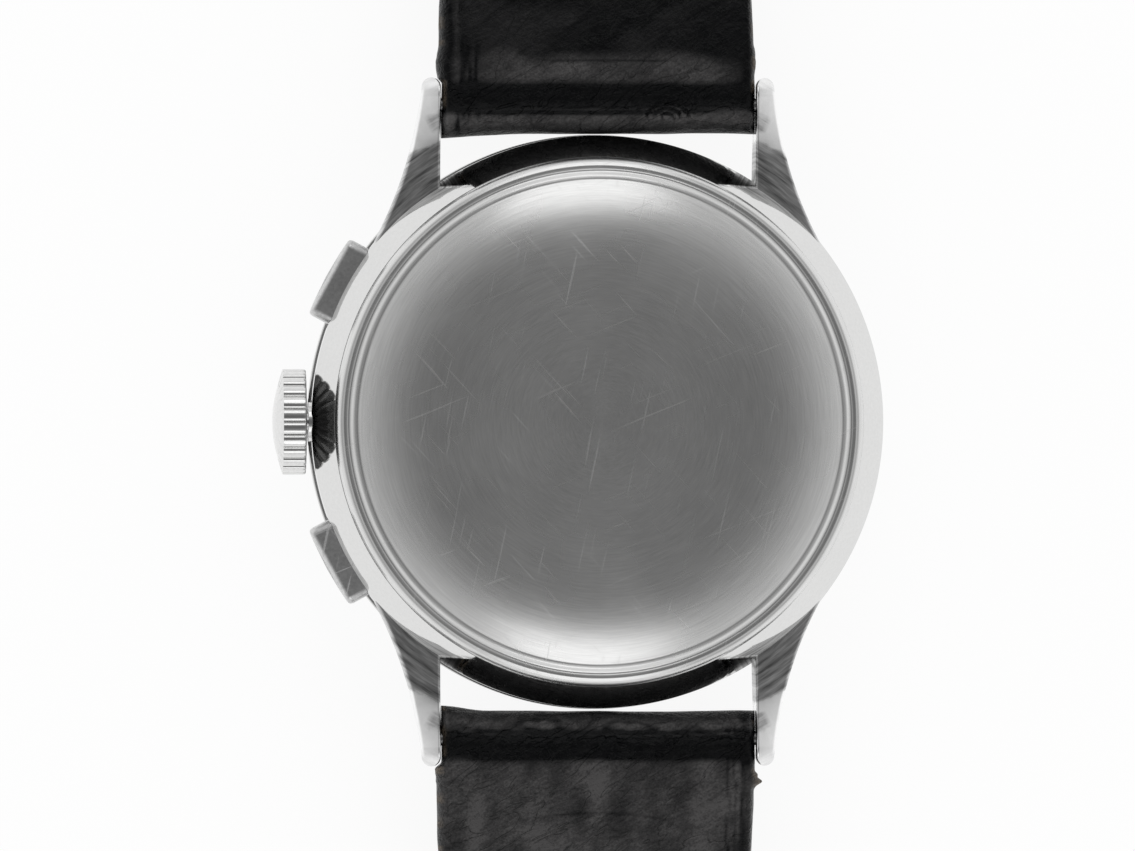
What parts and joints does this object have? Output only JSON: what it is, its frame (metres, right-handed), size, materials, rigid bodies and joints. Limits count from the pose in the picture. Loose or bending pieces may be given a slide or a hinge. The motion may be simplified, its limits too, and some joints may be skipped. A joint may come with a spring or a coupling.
{
  "type": "mechanical stopwatch",
  "caption": "Round steel wrist chronograph with a brushed snap back, fluted crown, radial pushers, horn lugs and a black leather strap.",
  "frame": {"origin": "centre of the flat of the crystal, which is the rest face", "axes": "+Z towards the case back, +Y towards the 12 o'clock lugs, -X towards the crown"},
  "size_m": [0.0388, 0.2277, 0.0122],
  "materials": {
    "case_steel": "polished stainless steel, brushed on the lugs",
    "back_steel": "circular brushed centre, polished shoulder and rim",
    "crystal": "clear acrylic",
    "crown_steel": "polished",
    "pusher_steel": "brushed faces, polished edges",
    "bar_steel": "plain",
    "leather": "worn black leather, semi-matt",
    "buckle_steel": "polished",
    "dial_silver": "silvered, fine grain",
    "blued_steel": "heat-blued",
    "brass": "circular grained",
    "gilt_nickel": "rhodium-like grain",
    "movement_steel": "straight grained",
    "balance_brass": "polished",
    "ruby": "polished"
  },
  "bodies": {
    "case": {"case_middle": "case_steel", "bezel": "case_steel", "crystal": "crystal", "case_back": "back_steel", "crown_tube": "crown_steel", "pusher_sleeves": "brass", "start_spring": "movement_steel", "reset_spring": "movement_steel", "spring_bar_12": "bar_steel", "spring_bar_6": "bar_steel", "dial": "dial_silver", "mainplate": "gilt_nickel", "barrel_bridge": "gilt_nickel", "train_bridge": "gilt_nickel", "balance_cock": "gilt_nickel", "pallet_bridge": "gilt_nickel", "hairspring": "blued_steel", "chrono_bridge": "gilt_nickel", "bridge_screws": "blued_steel", "jewels": "ruby"},
    "winding": {"winding_pinion": "movement_steel", "sliding_pinion": "movement_steel"},
    "crown": {"crown": "crown_steel", "winding_stem": "movement_steel"},
    "crown_wheel": {"crown_wheel": "movement_steel"},
    "ratchet": {"ratchet_wheel": "movement_steel", "barrel_arbor": "movement_steel"},
    "start_pusher": {"start_pusher": "pusher_steel"},
    "reset_pusher": {"reset_pusher": "pusher_steel"},
    "operating_lever": {"operating_lever": "movement_steel"},
    "reset_hammer": {"reset_hammer": "movement_steel"},
    "fourth": {"fourth_wheel": "brass", "small_seconds_hand": "blued_steel"},
    "centre": {"centre_wheel": "brass", "cannon_pinion": "movement_steel", "minute_hand": "blued_steel"},
    "third": {"third_wheel": "brass"},
    "escape": {"escape_wheel": "movement_steel"},
    "barrel": {"barrel": "brass", "mainspring": "movement_steel"},
    "minute_wheel": {"minute_wheel": "brass"},
    "hour": {"hour_wheel": "brass", "hour_hand": "blued_steel"},
    "pallet": {"pallet_fork": "movement_steel"},
    "balance": {"balance_wheel": "balance_brass"},
    "click": {"click": "movement_steel"},
    "chrono_runner": {"chrono_runner": "brass", "chrono_hand": "blued_steel"},
    "minute_recorder": {"minute_recorder": "brass", "minute_counter_hand": "blued_steel"},
    "column_wheel": {"column_wheel": "movement_steel"},
    "coupling_lever": {"coupling_lever": "movement_steel"},
    "coupling_wheel": {"coupling_wheel": "brass"},
    "strap_short": {"strap_short": "leather", "fixed_keeper": "leather", "buckle_bar": "buckle_steel"},
    "strap_long": {"strap_long": "leather"},
    "buckle": {"buckle_frame": "buckle_steel"},
    "tongue": {"buckle_tongue": "buckle_steel"},
    "free_keeper": {"free_keeper": "leather"}
  },
  "joints": [
    {"name": "crown_turn", "type": "hinge", "parent": "case", "child": "winding", "pos_m": [0, 0, 0.0069], "axis": [-1, 0, 0], "continuous": true},
    {"name": "crown_pull", "type": "slide", "parent": "winding", "child": "crown", "axis": [-1, 0, 0], "range_m": [0, 0.0009]},
    {"name": "crown_wheel_turn", "type": "hinge", "parent": "case", "child": "crown_wheel", "pos_m": [-0.01041, 0, 0], "axis": [0, 0, 1], "continuous": true},
    {"name": "ratchet_turn", "type": "hinge", "parent": "case", "child": "ratchet", "pos_m": [-0.00339, 0.00484, 0], "axis": [0, 0, 1], "continuous": true},
    {"name": "start_press", "type": "slide", "parent": "case", "child": "start_pusher", "axis": [0.8788, -0.4772, 0], "range_m": [0, 0.0006], "stiffness_N_per_m": 600, "deforming": ["start_spring"]},
    {"name": "reset_press", "type": "slide", "parent": "case", "child": "reset_pusher", "axis": [0.8788, 0.4772, 0], "range_m": [0, 0.0006], "stiffness_N_per_m": 600, "deforming": ["reset_spring"]},
    {"name": "operating_lever_turn", "type": "hinge", "parent": "case", "child": "operating_lever", "pos_m": [-0.0133, 0.0038, 0], "axis": [0, 0, 1], "range_deg": [-12, 0]},
    {"name": "reset_hammer_turn", "type": "hinge", "parent": "case", "child": "reset_hammer", "pos_m": [-0.0085, -0.0095, 0], "axis": [0, 0, 1], "range_deg": [-8.5, 0]},
    {"name": "seconds_turn", "type": "hinge", "parent": "case", "child": "fourth", "pos_m": [0.0063, 0, 0], "axis": [0, 0, 1], "continuous": true},
    {"name": "minute_turn", "type": "hinge", "parent": "case", "child": "centre", "pos_m": [0, 0, 0], "axis": [0, 0, 1], "continuous": true},
    {"name": "third_turn", "type": "hinge", "parent": "case", "child": "third", "pos_m": [0.0035, -0.00226, 0], "axis": [0, 0, 1], "continuous": true},
    {"name": "escape_turn", "type": "hinge", "parent": "case", "child": "escape", "pos_m": [0.00808, -0.00255, 0], "axis": [0, 0, 1], "continuous": true},
    {"name": "barrel_turn", "type": "hinge", "parent": "case", "child": "barrel", "pos_m": [-0.00339, 0.00484, 0], "axis": [0, 0, 1], "continuous": true},
    {"name": "minute_wheel_turn", "type": "hinge", "parent": "case", "child": "minute_wheel", "pos_m": [-0.0022, -0.00103, 0], "axis": [0, 0, 1], "continuous": true},
    {"name": "hour_turn", "type": "hinge", "parent": "case", "child": "hour", "pos_m": [0, 0, 0], "axis": [0, 0, 1], "continuous": true},
    {"name": "pallet_swing", "type": "hinge", "parent": "case", "child": "pallet", "pos_m": [0.00696, -0.00495, 0], "axis": [0, 0, 1], "range_deg": [-5, 5]},
    {"name": "balance_swing", "type": "hinge", "parent": "case", "child": "balance", "pos_m": [0.00561, -0.00785, 0], "axis": [0, 0, 1], "range_deg": [-150, 150], "stiffness_Nm_per_rad": 0.0000004},
    {"name": "click_swing", "type": "hinge", "parent": "case", "child": "click", "pos_m": [-0.00029, 0.01067, 0], "axis": [0, 0, -1], "range_deg": [0, 10]},
    {"name": "sweep_seconds_turn", "type": "hinge", "parent": "case", "child": "chrono_runner", "pos_m": [0, 0, 0], "axis": [0, 0, 1], "continuous": true},
    {"name": "minute_counter_turn", "type": "hinge", "parent": "case", "child": "minute_recorder", "pos_m": [-0.0063, 0, 0], "axis": [0, 0, 1], "continuous": true},
    {"name": "column_wheel_turn", "type": "hinge", "parent": "case", "child": "column_wheel", "pos_m": [-0.0083, 0.009, 0], "axis": [0, 0, 1], "continuous": true},
    {"name": "coupling_lever_swing", "type": "hinge", "parent": "case", "child": "coupling_lever", "pos_m": [0.0063, 0, 0], "axis": [0, 0, 1], "range_deg": [0, 3]},
    {"name": "coupling_wheel_turn", "type": "hinge", "parent": "coupling_lever", "child": "coupling_wheel", "pos_m": [0.00334, 0.00372, 0], "axis": [0, 0, 1], "continuous": true},
    {"name": "strap_short_swing", "type": "hinge", "parent": "case", "child": "strap_short", "pos_m": [0, 0.02005, 0.0082], "axis": [1, 0, 0], "range_deg": [-40, 100]},
    {"name": "strap_long_swing", "type": "hinge", "parent": "case", "child": "strap_long", "pos_m": [0, -0.02005, 0.0082], "axis": [-1, 0, 0], "range_deg": [-40, 100]},
    {"name": "buckle_swing", "type": "hinge", "parent": "strap_short", "child": "buckle", "pos_m": [0, 0.08885, 0.0039], "axis": [1, 0, 0], "range_deg": [0, 60]},
    {"name": "tongue_swing", "type": "hinge", "parent": "strap_short", "child": "tongue", "pos_m": [0, 0.08885, 0.0039], "axis": [-1, 0, 0], "range_deg": [0, 100]},
    {"name": "keeper_slide", "type": "slide", "parent": "strap_short", "child": "free_keeper", "axis": [0, 1, 0], "range_m": [-0.006, 0.009]}
  ],
  "couplings": [
    {"joint": "crown_wheel_turn", "follows": "crown_turn", "ratio": -0.5},
    {"joint": "ratchet_turn", "follows": "crown_turn", "ratio": 0.33333},
    {"joint": "operating_lever_turn", "follows": "start_press", "rad_per_m": -332.59},
    {"joint": "reset_hammer_turn", "follows": "reset_press", "rad_per_m": -232.94},
    {"joint": "third_turn", "follows": "seconds_turn", "ratio": -0.13333},
    {"joint": "minute_turn", "follows": "seconds_turn", "ratio": 0.016667},
    {"joint": "escape_turn", "follows": "seconds_turn", "ratio": -10},
    {"joint": "barrel_turn", "follows": "seconds_turn", "ratio": -0.0027778},
    {"joint": "minute_wheel_turn", "follows": "seconds_turn", "ratio": -0.0055556},
    {"joint": "hour_turn", "follows": "seconds_turn", "ratio": 0.0013889},
    {"joint": "minute_counter_turn", "follows": "sweep_seconds_turn", "ratio": 0.033333},
    {"joint": "coupling_wheel_turn", "follows": "seconds_turn", "ratio": -1.8125}
  ]
}
